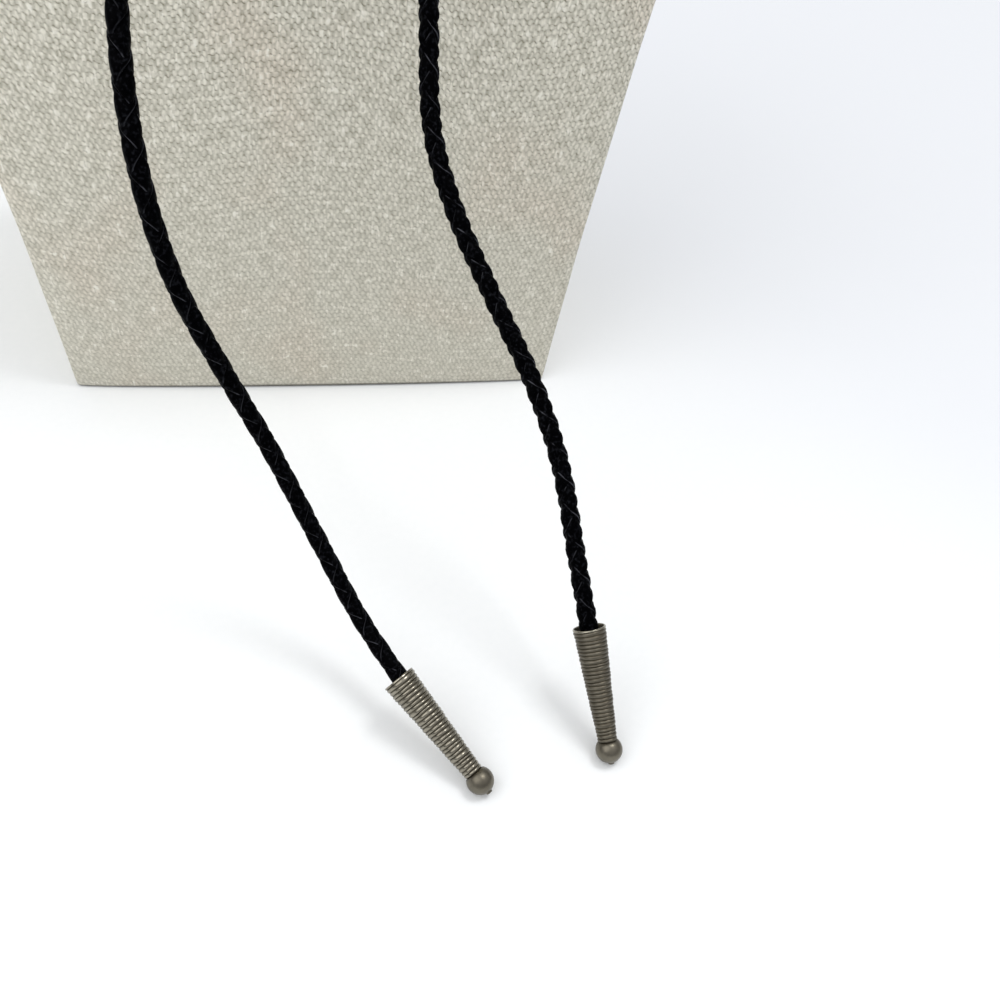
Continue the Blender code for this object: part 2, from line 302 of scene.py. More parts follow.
# Faint paler specks, about 0.7 mm apart, are partly wax bloom and partly painted sheen.
speck = add(leather, "ShaderNodeTexNoise", None,
            {"Vector": place, "Scale": 1400.0, "Detail": 2.0}).outputs["Fac"]
bloom_and_sheen = add(leather, "ShaderNodeMapRange", None,
            {"Value": speck, "From Min": 0.52, "From Max": 0.8}).outputs["Result"]
black = add(leather, "ShaderNodeMix", {"data_type": "RGBA"}, {
    "Factor": bloom_and_sheen, 6: linear("#010102"), 7: linear("#1C1D21"),
}).outputs[2]
# The paler colour at the cut edges is partly rubbed leather and partly painted highlight.
colour = add(leather, "ShaderNodeMix", {"data_type": "RGBA"}, {
    "Factor": rubbed_and_highlit_edge, 6: black, 7: linear("#434449"),
}).outputs[2]
gloss = add(leather, "ShaderNodeMapRange", None, {
    "Value": patches, "From Min": 0.3, "From Max": 0.7, "To Min": 0.34, "To Max": 0.5,
}).outputs["Result"]
bump = add(leather, "ShaderNodeBump", None,
           {"Strength": 0.35, "Distance": 0.00006, "Height": grain}).outputs["Normal"]
connect(leather, shader, {
    "Base Color": colour, "Roughness": gloss, "Normal": bump,
    "IOR": 1.5, "Specular IOR Level": 0.012,
})
print("leather has", len(leather.node_tree.nodes), "nodes")

# %% [markdown]
# ## The four-strand braid
# Two laces wind one way round the cord and two the other way, and each goes over one lace and
# under the next. One turn takes 15 mm, so a crossing comes every 7.5 mm along each face. Where
# two laces cross, the cord is four laces thick, which gives a lace's thickness, and a lace is
# as wide as keeps the next one of its hand from showing a gap. It could be a curve with a bevel
# object, but a curve can't be told which way its flat side faces. So each lace starts as one
# flat grid that is rolled up: across the grid becomes the way round the lace's rounded section,
# and along the grid becomes the way along the cord.

# %% Braid sizes
BRAID_PITCH = 0.01505
# Braiding left the cord twisted by 32 degrees from the left tip to the right one.
BRAID_START = math.radians(5)
BRAID_TWIST = math.radians(32)
LACE_WIDTH = 0.0042
LACE_THICKNESS = CORD_DIAMETER / 4
WINDING_RADIUS = 0.0017
SECTION_STEPS = 16
# Powers under 1 square off a wave: a lace's section, and its step from under to over.
SECTION_POWER = 0.5
STEP_POWER = 0.8
# Underneath, a lace bends less round the cord than on top.
HIDDEN_BEND = 0.3
# On top, a lace tilts by one in ten, to one side up to the cord's middle and then to the other.
EDGE_LIFT = 0.1
LIFT_SWITCH = 60

lean = math.atan(2 * math.pi * WINDING_RADIUS / BRAID_PITCH)
print("the laces lean by", round(math.degrees(lean), 1), "degrees")


# %% A point of a lace
def squared(value, power):
    """A sine or cosine pushed out towards its ends, which squares a round section."""
    return math.copysign(abs(value) ** power, value)


def lace_point(around, along, hand, start):
    """Where a point of the flat lace grid goes in the braid."""
    angle = math.pi * around
    run = along * CORD_LENGTH
    across = squared(math.cos(angle), SECTION_POWER) * LACE_WIDTH / 2
    rise = squared(math.sin(angle), SECTION_POWER) * LACE_THICKNESS / 2
    sideways = across * math.cos(lean)
    turned = hand * 2 * math.pi * run / BRAID_PITCH
    # From 0, where the lace is under the other, to 1, where it is on top.
    over = (1 + squared(hand * math.cos(2 * turned), STEP_POWER)) / 2
    radius = LACE_THICKNESS * (0.5 + over) + rise
    # On top, the lace bends round the cord, and its edge towards the nearer tip stands proud.
    radius -= between(HIDDEN_BEND, 1.0, over) * sideways ** 2 / CORD_DIAMETER
    nearer_tip = math.tanh((along - 0.5) * LIFT_SWITCH)
    radius -= hand * across * EDGE_LIFT * over * nearer_tip
    turn = start + BRAID_START + BRAID_TWIST * along + turned
    spot = (run - hand * across * math.sin(lean)) / STEP
    spot = min(max(spot, 0.0), len(even) - 1.0)
    low = min(int(spot), len(even) - 2)
    centre = between(centre_line[low], centre_line[low + 1], spot - low)
    outward = math.cos(turn) * sides[low] + math.sin(turn) * others[low]
    around_cord = math.cos(turn) * others[low] - math.sin(turn) * sides[low]
    return centre + radius * outward + sideways * around_cord


print("the first lace starts at", [round(float(v), 4) for v in lace_point(0.0, 0.0, 1, 0.0)])

# %% Braid
# The laces that wind one way get fainter rubbed edges and painted highlight lines than the
# others.
RUB_AND_HIGHLIGHT = {1: 0.45, -1: 1.0}

braid = bmesh.new()
braid.loops.layers.uv.new("Lace")
rub_and_highlight_layer = braid.verts.layers.float.new("rub_and_highlight")
for hand in (1, -1):
    for start in (0.0, math.pi):
        made = bmesh.ops.create_grid(
            braid, x_segments=SECTION_STEPS, y_segments=len(even) - 1, size=1.0, calc_uvs=True
        )
        for vert in made["verts"]:
            vert.co = lace_point(vert.co.x, (vert.co.y + 1) / 2, hand, start)
            vert[rub_and_highlight_layer] = RUB_AND_HIGHLIGHT[hand]
bmesh.ops.remove_doubles(braid, verts=braid.verts, dist=MERGE_DISTANCE)
bmesh.ops.holes_fill(braid, edges=braid.edges, sides=SECTION_STEPS)
bmesh.ops.recalc_face_normals(braid, faces=braid.faces)
cord = finish_piece(braid, "cord_braid", leather)

# %% [markdown]
# ## Antique pewter
# The tips are cast in a tin alloy, plated with an antique nickel and tumbled, so that the dark
# stays in the grooves and the ribs' crests are rubbed bright. To the eye that is a warm grey
# metal, half matt, with soft highlights. How deep each point lies in its groove is known while
# the ribs are made. It is kept in one attribute, scaled for each part: the left tip's crests are
# brighter as painted highlight and the right tip's ribs darker as painted shade, since the two
# tips are lit differently, and the balls are made duller. The material is darker and duller
# where the attribute is low.

# %% Pewter material
pewter, shader = start_material("Tumbled antique pewter casting")
place = add(pewter, "ShaderNodeTexCoord").outputs["Object"]
crest = add(pewter, "ShaderNodeAttribute", {"attribute_name": "crest"}).outputs["Fac"]
# Tumbling marks and casting pits are about 0.2 mm across.
pits = add(pewter, "ShaderNodeTexNoise", None,
           {"Vector": place, "Scale": 5000.0, "Detail": 4.0}).outputs["Fac"]
# The stain of the antiquing bath changes over some 3 mm.
stain = add(pewter, "ShaderNodeTexNoise", None,
            {"Vector": place, "Scale": 350.0, "Detail": 3.0}).outputs["Fac"]
stained = add(pewter, "ShaderNodeMix", {"data_type": "RGBA"}, {
    "Factor": stain, 6: linear("#767064"), 7: linear("#AAA596"),
}).outputs[2]
colour = add(pewter, "ShaderNodeMix", {"data_type": "RGBA"}, {
    "Factor": crest, 6: linear("#443E33"), 7: stained,
}).outputs[2]
rough = add(pewter, "ShaderNodeMapRange", None, {
    "Value": crest, "To Min": 0.5, "To Max": 0.18,
}).outputs["Result"]
bump = add(pewter, "ShaderNodeBump", None,
           {"Strength": 0.25, "Distance": 0.00005, "Height": pits}).outputs["Normal"]
connect(pewter, shader, {
    "Base Color": colour, "Roughness": rough, "Normal": bump, "Metallic": 1.0,
})
print("pewter has", len(pewter.node_tree.nodes), "nodes")

# %% [markdown]
# ## The ribbed tips
# A bolo tip is a hollow cone that is crimped or glued on the cord. Its ribs look like wound
# wire, and on a cheap casting they are uneven. A profile of a few points for each rib, spun once
# round the axis, gives even ribs. Then every point is moved a little by smooth noise that
# changes along and across the tip, which makes the ribs swell, lean and crowd as cast ones do.

# %% Tip sizes
TIP_LENGTH = 0.03335
MOUTH_RADIUS = 0.0040
MOUTH_WALL = 0.00045
RIM = 0.0006
NECK_RADIUS = 0.00235
BALL_RADIUS = 0.00325
BALL_STEPS = 18
SOCKET_RADIUS = CORD_DIAMETER / 2 + 0.0005
SOCKET_GAP = 0.0004
FUNNEL_DEPTH = 0.004
NUB_RADIUS = 0.0008
NUB_TAPER = 0.9
NUB_HEIGHT = 0.0003
RIBS = 29
RIB_DEPTH = 0.00026
RIB_POINTS = 6
SPIN_STEPS = 64
# The mouth's lip: how deep its inner slope goes, and how much is rounded off its two edges.
LIP_DEPTH = 0.0004
INNER_ROUND = 0.0001
OUTER_ROUND = 0.00012
OUTER_DROP = 0.00015
RIM_FOOT = 0.0002
# How bright each part's crests are: the left tip's as painted highlight, the right tip's ribs
# darker as painted shade, the balls duller.
LEFT_POLISH_AND_GLINT = 1.0
RIGHT_POLISH_AND_SHADE = 0.4
BALL_POLISH = 0.4
print("a rib is", round((TIP_LENGTH - 2 * BALL_RADIUS - RIM) / RIBS * 1000, 2), "mm long")


# %% Tip profile
def tip_profile(depth, polish_and_light):
    """Radius, height and crest of each profile point, from the socket's floor to the nub."""
    ball_height = BALL_RADIUS - TIP_LENGTH
    neck_turn = math.asin(NECK_RADIUS / BALL_RADIUS)
    nub_turn = math.pi - math.asin(NUB_RADIUS / BALL_RADIUS)
    neck_height = ball_height + BALL_RADIUS * math.cos(neck_turn)
    nub_end = -TIP_LENGTH - NUB_HEIGHT
    rows = [
        (0.0, -depth, 0.0),
        (SOCKET_RADIUS, -depth, 0.0),
        (SOCKET_RADIUS, -FUNNEL_DEPTH, 0.0),
        (MOUTH_RADIUS - MOUTH_WALL, -LIP_DEPTH, 0.1),
        (MOUTH_RADIUS - MOUTH_WALL + INNER_ROUND, 0.0, 0.9),
        (MOUTH_RADIUS - OUTER_ROUND, 0.0, 1.0),
        (MOUTH_RADIUS, -OUTER_DROP, 1.0),
        (MOUTH_RADIUS, -RIM + RIM_FOOT, 1.0),
    ]
    for point in range(RIBS * RIB_POINTS + 1):
        share = point / (RIBS * RIB_POINTS)
        height = between(-RIM, neck_height, share)
        cone = between(MOUTH_RADIUS, NECK_RADIUS, share)
        swell = abs(math.sin(math.pi * point / RIB_POINTS))
        # The crest value carries the part's polish with painted highlight on the left tip and
        # painted shade on the right.
        rows.append((cone - RIB_DEPTH * (1 - swell), height, swell * polish_and_light))
    for step in range(1, BALL_STEPS + 1):
        turn = between(neck_turn, nub_turn, step / BALL_STEPS)
        height = ball_height + BALL_RADIUS * math.cos(turn)
        rows.append((BALL_RADIUS * math.sin(turn), height, BALL_POLISH))
    rows.append((NUB_RADIUS * NUB_TAPER, nub_end, BALL_POLISH))
    rows.append((0.0, nub_end, BALL_POLISH))
    return rows


print("the profile has", len(tip_profile(FUNNEL_DEPTH, LEFT_POLISH_AND_GLINT)), "points")

# %% Tips
# Smooth noise changes every 8 mm across the tip and every 1.2 mm along it.
UNEVEN_ACROSS = 130
UNEVEN_ALONG = 800
RIB_SHIFT = 0.00032
RIB_SWELL = 0.035
OTHER_NOISE = Vector((9.0, 0.0, 0.0))
ON_AXIS = 1e-6
TIP_FOLD = 55


def make_tip(name, ball_foot, cord_end, seed, polish_and_light):
    """One tip, spun about its axis and turned from its ball towards the cord."""
    ball_centre = Vector((*ball_foot, BALL_RADIUS))
    to_ball = ball_centre - Vector(cord_end)
    depth = TIP_LENGTH - BALL_RADIUS - to_ball.length + SOCKET_GAP
    bm = bmesh.new()
    crest_layer = bm.verts.layers.float.new("crest")
    spots = []
    for radius, height, crest in tip_profile(depth, polish_and_light):
        spot = bm.verts.new((radius, 0.0, height))
        spot[crest_layer] = crest
        spots.append(spot)
    edges = [bm.edges.new(pair) for pair in zip(spots, spots[1:])]
    bmesh.ops.spin(
        bm, geom=spots + edges, cent=(0, 0, 0), axis=(0, 0, 1), dvec=(0, 0, 0),
        angle=2 * math.pi, steps=SPIN_STEPS, use_merge=True, use_duplicate=False,
    )
    bmesh.ops.remove_doubles(bm, verts=bm.verts, dist=MERGE_DISTANCE)
    bmesh.ops.recalc_face_normals(bm, faces=bm.faces)
    for vert in bm.verts:
        on_ribs = -RIM > vert.co.z > -TIP_LENGTH + 2 * BALL_RADIUS
        if on_ribs and vert.co.xy.length > ON_AXIS:
            x, y, z = vert.co
            here = Vector((x * UNEVEN_ACROSS, y * UNEVEN_ACROSS, z * UNEVEN_ALONG + seed))
            vert.co.z += RIB_SHIFT * noise.noise(here)
            vert.co.xy *= 1 + RIB_SWELL * noise.noise(here + OTHER_NOISE)
    turn = to_ball.to_track_quat("-Z", "Y").to_matrix().to_4x4()
    mouth = ball_centre - to_ball.normalized() * (TIP_LENGTH - BALL_RADIUS)
    bmesh.ops.transform(bm, matrix=Matrix.Translation(mouth) @ turn, verts=bm.verts)
    tip = finish_piece(bm, name, pewter, TIP_FOLD)
    return tip


left_tip = make_tip(
    "ribbed_tip_left", ball_foot=(0.0325, -0.1956), cord_end=ROUTE[0], seed=3.0,
    polish_and_light=LEFT_POLISH_AND_GLINT,
)
right_tip = make_tip(
    "ribbed_tip_right", ball_foot=(0.0645, -0.1906), cord_end=ROUTE[-1], seed=41.0,
    polish_and_light=RIGHT_POLISH_AND_SHADE,
)
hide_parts("tip_left")
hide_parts("tip_right")

# %% [markdown]
# ## Slide
# The slide that gathers the two legs is plain: an oval plate with a bar behind it, drilled for
# the cord. The CAD node already has its true shape, so it only gets its metal.

# %% Slide finish
plate_metal, shader = start_material("Brushed antique nickel plate")
place = add(plate_metal, "ShaderNodeTexCoord").outputs["Object"]
# Brushing runs across the plate, in lines 0.15 mm apart.
stretched = add(plate_metal, "ShaderNodeMapping", None,
                {"Vector": place, "Scale": (300.0, 6500.0, 6500.0)}).outputs["Vector"]
lines = add(plate_metal, "ShaderNodeTexNoise", None,
            {"Vector": stretched, "Scale": 1.0, "Detail": 2.0}).outputs["Fac"]
cloud = add(plate_metal, "ShaderNodeTexNoise", None,
            {"Vector": place, "Scale": 220.0, "Detail": 3.0}).outputs["Fac"]
colour = add(plate_metal, "ShaderNodeMix", {"data_type": "RGBA"}, {
    "Factor": cloud, 6: linear("#6E675C"), 7: linear("#A09A8D"),
}).outputs[2]
rough = add(plate_metal, "ShaderNodeMapRange", None, {
    "Value": lines, "From Min": 0.3, "From Max": 0.7, "To Min": 0.28, "To Max": 0.46,
}).outputs["Result"]
bump = add(plate_metal, "ShaderNodeBump", None,
           {"Strength": 0.2, "Distance": 0.00004, "Height": lines}).outputs["Normal"]
connect(plate_metal, shader, {
    "Base Color": colour, "Roughness": rough, "Normal": bump, "Metallic": 1.0,
})
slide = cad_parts["slide"]
slide.data.materials.clear()
slide.data.materials.append(plate_metal)
print("plate metal has", len(plate_metal.node_tree.nodes), "nodes")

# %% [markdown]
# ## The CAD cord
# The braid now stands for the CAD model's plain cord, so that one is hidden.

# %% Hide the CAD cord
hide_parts("braided_cord")
print("the cord is a soft piece", CORD_DIAMETER * 1000, "mm thick, with both tips and the slide")

# %% [markdown]
# ## Linen
# The bust is covered with undyed linen in plain weave: warp threads run up it, 12 to the
# centimetre, and weft threads run across, 7 to the centimetre. The cloth was stretched as it was
# glued on, so its warp fans out as the bust widens and its weft runs in shallow waves. Both are
# ways to bend the cloth's own coordinates before any thread is drawn. The threads are uneven
# too, so smooth noise lets each one wander.

# %% Threads
WARP_SPACING = 0.00083
WEFT_SPACING = 0.00136
# The warp is 12% wider apart for each 100 mm up, as far as 130 mm.
FAN_BASE = 1.072
FAN_RISE = 1.2
FAN_TOP = 0.13
# The weft rises and falls by 2.4 mm in waves 95 mm long.
SWAY = 0.0024
SWAY_LENGTH = 0.095
SWAY_START = 1.32
# A thread strays by a fifth of a millimetre or so every 2 or 3 mm.
WANDER = (0.0009, 0.0012, 0.0)

linen, shader = start_material("Plain-woven greige linen")
uv = add(linen, "ShaderNodeUVMap", {"uv_map": "Cloth"}).outputs["UV"]
cloth = add(linen, "ShaderNodeSeparateXYZ", None, {"Vector": uv})
low = add(linen, "ShaderNodeMath", {"operation": "MINIMUM"},
          {0: cloth.outputs["Y"], 1: FAN_TOP}).outputs["Value"]
fan = add(linen, "ShaderNodeMath", {"operation": "MULTIPLY_ADD"},
          {0: low, 1: -FAN_RISE, 2: FAN_BASE}).outputs["Value"]
fanned = add(linen, "ShaderNodeMath", {"operation": "MULTIPLY"},
             {0: cloth.outputs["X"], 1: fan}).outputs["Value"]
phase = add(linen, "ShaderNodeMath", {"operation": "MULTIPLY_ADD"}, {
    0: cloth.outputs["X"], 1: 2 * math.pi / SWAY_LENGTH, 2: SWAY_START,
}).outputs["Value"]
swell = add(linen, "ShaderNodeMath", {"operation": "SINE"}, {0: phase}).outputs["Value"]
swayed = add(linen, "ShaderNodeMath", {"operation": "MULTIPLY_ADD"},
             {0: swell, 1: -SWAY, 2: cloth.outputs["Y"]}).outputs["Value"]
pulled = add(linen, "ShaderNodeCombineXYZ", None, {"X": fanned, "Y": swayed}).outputs["Vector"]
wander = add(linen, "ShaderNodeTexNoise", {"noise_dimensions": "2D"},
             {"Vector": uv, "Scale": 420.0, "Detail": 2.0}).outputs["Color"]
threads = add(linen, "ShaderNodeVectorMath", {"operation": "MULTIPLY_ADD"},
              {0: wander, 1: WANDER, 2: pulled}).outputs["Vector"]
print("one thread across and one up:", WARP_SPACING * 1000, "and", WEFT_SPACING * 1000, "mm")

# %% [markdown]
# A plain weave repeats over two threads each way, and so do products of sines and cosines that
# swing once in two threads. Close up, light from the side picks out two things in it: thin dark
# lines along the weft threads, which bend round each raised warp thread, and pale ovals where
# the threads lie on top. Both are painted into the colour: the lines are painted shade in the
# gaps between threads, and the ovals painted highlights on the threads' tops. Drawing just these
# two keeps the cloth crisp from near and quiet from afar. Threads modelled one by one would take
# millions of faces.

# %% Weave waves
split = add(linen, "ShaderNodeSeparateXYZ", None, {"Vector": threads})
across = add(linen, "ShaderNodeMath", {"operation": "MULTIPLY"},
             {0: split.outputs["X"], 1: math.pi / WARP_SPACING}).outputs["Value"]
upward = add(linen, "ShaderNodeMath", {"operation": "MULTIPLY"},
             {0: split.outputs["Y"], 1: math.pi / WEFT_SPACING}).outputs["Value"]
wave_x = add(linen, "ShaderNodeMath", {"operation": "COSINE"}, {0: across}).outputs["Value"]
wave_y = add(linen, "ShaderNodeMath", {"operation": "COSINE"}, {0: upward}).outputs["Value"]
column = add(linen, "ShaderNodeMath", {"operation": "SINE"}, {0: across}).outputs["Value"]
row = add(linen, "ShaderNodeMath", {"operation": "SINE"}, {0: upward}).outputs["Value"]
print("the weave repeats every", WARP_SPACING * 2000, "by", WEFT_SPACING * 2000, "mm")

# %% Dark lines along the weft, painted shade
LINE_BEND = 0.7

# The dark lines are painted shade in the gaps between threads.
checker = add(linen, "ShaderNodeMath", {"operation": "MULTIPLY"},
              {0: wave_x, 1: wave_y}).outputs["Value"]
bent = add(linen, "ShaderNodeMath", {"operation": "MULTIPLY_ADD"},
           {0: checker, 1: LINE_BEND, 2: upward}).outputs["Value"]
line = add(linen, "ShaderNodeMath", {"operation": "SINE"}, {0: bent}).outputs["Value"]
line = add(linen, "ShaderNodeMath", {"operation": "ABSOLUTE"}, {0: line}).outputs["Value"]
line = add(linen, "ShaderNodeMapRange", {"interpolation_type": "SMOOTHSTEP"}, {
    "Value": line, "From Max": 0.45, "To Min": 1.0, "To Max": 0.0,
}).outputs["Result"]
# The painted shade is stronger on one flank of each raised thread than on the other, as if lit
# from one side.
painted_side_shade = add(linen, "ShaderNodeMath", {"operation": "MULTIPLY"},
            {0: column, 1: wave_y}).outputs["Value"]
painted_side_shade = add(linen, "ShaderNodeMapRange", {"interpolation_type": "SMOOTHSTEP"}, {
    "Value": painted_side_shade, "From Min": -0.7, "From Max": 0.7, "To Min": 1.0, "To Max": 0.25,
}).outputs["Result"]
line = add(linen, "ShaderNodeMath", {"operation": "MULTIPLY"},
           {0: line, 1: painted_side_shade}).outputs["Value"]
# The painted shade is deeper in some places than in others, which change about every millimetre.
depth = add(linen, "ShaderNodeTexNoise", {"noise_dimensions": "2D"},
            {"Vector": uv, "Scale": 1100.0, "Detail": 1.0}).outputs["Fac"]
depth = add(linen, "ShaderNodeMapRange", None, {
    "Value": depth, "From Min": 0.4, "From Max": 0.65, "To Min": 0.15, "To Max": 1.4,
}).outputs["Result"]
painted_gap_shade = add(linen, "ShaderNodeMath", {"operation": "MULTIPLY"},
          {0: line, 1: depth}).outputs["Value"]
print("the dark lines bend by", round(LINE_BEND / math.pi * WEFT_SPACING * 1000, 2), "mm")

# %% Pale ovals, painted highlights
# The ovals are painted highlights on the threads' tops; they stand in a checkerboard, broken up
# by fibres 0.7 mm long.
fibre = add(linen, "ShaderNodeTexNoise", {"noise_dimensions": "2D"},
            {"Vector": uv, "Scale": 1500.0, "Detail": 2.0, "Roughness": 0.7}).outputs["Fac"]
ovals = add(linen, "ShaderNodeMath", {"operation": "MULTIPLY"},
            {0: wave_x, 1: row}).outputs["Value"]
ovals = add(linen, "ShaderNodeMath", {"operation": "MULTIPLY_ADD"},
            {0: fibre, 1: 1.2, 2: ovals}).outputs["Value"]
painted_crown_highlight = add(linen, "ShaderNodeMapRange", {"interpolation_type": "SMOOTHSTEP"}, {
    "Value": ovals, "From Min": 0.0, "From Max": 1.6, "To Min": 0.52, "To Max": 0.85,
}).outputs["Result"]
# The weave's tone is painted highlight on the threads less painted shade in their gaps.
weave = add(linen, "ShaderNodeMath", {"operation": "SUBTRACT"},
            {0: painted_crown_highlight, 1: painted_gap_shade}).outputs["Value"]
print("the weave takes", len(linen.node_tree.nodes), "nodes so far")

# %% Shades of thread
# Threads differ in shade from one to the next and along their length.
stretch = add(linen, "ShaderNodeMapping", None,
              {"Vector": threads, "Scale": (1300.0, 220.0, 1.0)}).outputs["Vector"]
streak_up = add(linen, "ShaderNodeTexNoise", {"noise_dimensions": "2D"},
                {"Vector": stretch, "Scale": 1.0, "Detail": 2.0}).outputs["Fac"]
stretch = add(linen, "ShaderNodeMapping", None,
              {"Vector": threads, "Scale": (260.0, 800.0, 1.0)}).outputs["Vector"]
streak_across = add(linen, "ShaderNodeTexNoise", {"noise_dimensions": "2D"},
                    {"Vector": stretch, "Scale": 1.0, "Detail": 2.0}).outputs["Fac"]
streaks = add(linen, "ShaderNodeMath", {"operation": "ADD"},
              {0: streak_up, 1: streak_across}).outputs["Value"]
# Where the palest stretches of two threads meet, a slub shows.
slub = add(linen, "ShaderNodeMapRange", None,
           {"Value": streaks, "From Min": 1.24, "From Max": 1.4}).outputs["Result"]
shade = add(linen, "ShaderNodeMapRange", None, {
    "Value": streaks, "From Min": 0.7, "From Max": 1.3, "To Min": -0.24, "To Max": 0.24,
}).outputs["Result"]
tone = add(linen, "ShaderNodeMath", {"operation": "ADD", "use_clamp": True},
           {0: weave, 1: shade}).outputs["Value"]
# Towards the base the cloth is rubbed flatter, and its threads differ less.
flat = add(linen, "ShaderNodeMapRange", None, {
    "Value": cloth.outputs["Y"], "From Max": 0.12, "To Min": 0.5, "To Max": 0.0,
}).outputs["Result"]
tone = add(linen, "ShaderNodeMix", None, {"Factor": flat, 2: tone, 3: 0.6}).outputs[0]
colour = add(linen, "ShaderNodeMix", {"data_type": "RGBA"}, {
    "Factor": tone, 6: linear("#827E6B"), 7: linear("#EAE6D8"),
}).outputs[2]
print("the threads' shades take it to", len(linen.node_tree.nodes), "nodes")

# %% Linen finish
# Undyed flax has faint warm patches a few centimetres wide.
patch = add(linen, "ShaderNodeTexNoise", {"noise_dimensions": "2D"},
            {"Vector": uv, "Scale": 26.0, "Detail": 2.0}).outputs["Fac"]
warm = add(linen, "ShaderNodeMapRange", None, {
    "Value": patch, "From Min": 0.5, "From Max": 0.75, "To Max": 0.3,
}).outputs["Result"]
colour = add(linen, "ShaderNodeMix", {"data_type": "RGBA", "blend_type": "MULTIPLY"}, {
    "Factor": warm, 6: colour, 7: linear("#FFF0EA"),
}).outputs[2]
colour = add(linen, "ShaderNodeMix", {"data_type": "RGBA"}, {
    "Factor": slub, 6: colour, 7: linear("#ECE9DD"),
}).outputs[2]
# The last millimetre above the floor is darkened as painted shade under the turned-in edge.
painted_base_shade = add(linen, "ShaderNodeMapRange", {"interpolation_type": "SMOOTHSTEP"}, {
    "Value": cloth.outputs["Y"], "From Min": 0.0013, "From Max": 0.0021,
    "To Min": 1.0, "To Max": 0.0,
}).outputs["Result"]
colour = add(linen, "ShaderNodeMix", {"data_type": "RGBA"}, {
    "Factor": painted_base_shade, 6: colour, 7: linear("#66645A"),
}).outputs[2]
relief = add(linen, "ShaderNodeMath", {"operation": "ADD"}, {0: tone, 1: slub}).outputs["Value"]
bump = add(linen, "ShaderNodeBump", None,
           {"Strength": 0.5, "Distance": 0.00015, "Height": relief}).outputs["Normal"]
connect(linen, shader, {
    "Base Color": colour, "Normal": bump, "Roughness": 0.9,
    "Sheen Weight": 0.15, "Sheen Roughness": 0.5,
})
print("linen has", len(linen.node_tree.nodes), "nodes")

# %% [markdown]
# ## The neck bust
# A display bust is a stiff shell with linen glued over it and turned in under its base. Seen
# from above, each level section is half an ellipse across the chest, a short straight side and
# a flatter half ellipse across the back. The sizes below are the CAD model's. The cloth starts
# as a flat grid, one row for each level, that is wrapped round the sections, and its UV map is
# measured in metres of cloth along both threads, so the weave keeps its true size everywhere.

# %% Bust sections
BUST_HEIGHT = 0.335
SHOULDER_HEIGHT = 0.222
BASE_WIDTH = 0.146
SHOULDER_WIDTH = 0.212
BUST_DEPTH = 0.112
CHEST_LEAN = 0.026
CHEST_BOW = 0.022
BACK_BOW = 0.008
NECK_WIDTH = 0.0906
NECK_DEPTH = 0.074
NECK_STRAIGHT = 0.002

# Shares of the sizes above: up, wide, lean and bow.
CHEST_ROWS = [
    (0.000, 0.00, 0.00, 0.09),
    (0.075, 0.05, 0.01, 0.15),
    (0.150, 0.115, 0.04, 0.22),
    (0.225, 0.18, 0.08, 0.285),
    (0.300, 0.26, 0.13, 0.35),
    (0.375, 0.345, 0.20, 0.415),
    (0.455, 0.44, 0.29, 0.48),
    (0.530, 0.545, 0.385, 0.55),
    (0.610, 0.665, 0.485, 0.62),
    (0.690, 0.785, 0.59, 0.695),
    (0.770, 0.885, 0.695, 0.77),
    (0.850, 0.96, 0.80, 0.85),
    (0.930, 1.00, 0.905, 0.93),
    (1.000, 1.00, 1.00, 1.00),
]
NECKLINE_ROWS = [
    (0.060, 0.975, 0.07, 0.07),
    (0.120, 0.915, 0.14, 0.16),
    (0.185, 0.82, 0.22, 0.29),
    (0.245, 0.70, 0.32, 0.44),
    (0.305, 0.55, 0.44, 0.60),
    (0.365, 0.40, 0.58, 0.75),
    (0.425, 0.255, 0.72, 0.87),
    (0.490, 0.13, 0.85, 0.95),
    (0.560, 0.05, 0.94, 0.99),
    (0.650, 0.01, 0.99, 1.00),
    (0.800, 0.00, 1.00, 1.00),
    (0.973, 0.00, 1.00, 1.00),
]
print("the bust has", len(CHEST_ROWS) + len(NECKLINE_ROWS), "sections")

# %% Bust levels
LEVEL_STEPS = 5


def bust_levels():
    """Height, half width, face, bow and back bow of each level, from the floor up."""
    front = -BUST_DEPTH / 2
    neck_bow = (NECK_DEPTH - NECK_STRAIGHT) / 2
    rows = []
    for up, wide, lean_share, bow in CHEST_ROWS:
        half = between(BASE_WIDTH, SHOULDER_WIDTH, wide) / 2
        face = front + lean_share * CHEST_LEAN
        rows.append((up * SHOULDER_HEIGHT, half, face, bow * CHEST_BOW, BACK_BOW))
    for up, wide, lean_share, bow in NECKLINE_ROWS:
        half = between(NECK_WIDTH, SHOULDER_WIDTH, wide) / 2
        face = between(front + CHEST_LEAN, BUST_DEPTH / 2 - NECK_DEPTH, lean_share)
        rows.append((
            between(SHOULDER_HEIGHT, BUST_HEIGHT, up), half, face,
            between(CHEST_BOW, neck_bow, bow), between(BACK_BOW, neck_bow, bow),
        ))
    return smooth(rows, LEVEL_STEPS)


levels = bust_levels()
print(len(levels), "levels from", levels[0][0], "to", round(levels[-1][0], 4), "m")

# %% [markdown]
# The cloth turns in over two rounded edges, one at the base and one at the neck's top. Each is
# a quarter turn of a small radius, made by pulling the section in while the level goes on. The
# closing faces under the base and on the neck are cut from the same linen. A front and a back
# cloth meet along the middle of each side, and each is measured from its own middle thread, so
# that neither is drawn askew where the shoulders narrow to the neck.

# %% Rings of cloth
BASE_ROUND = 0.0011
TOP_ROUND = 0.003
FRONT_STEPS = 56
BACK_STEPS = 36
SIDE_STEPS = 10
TURN_STEPS = 5


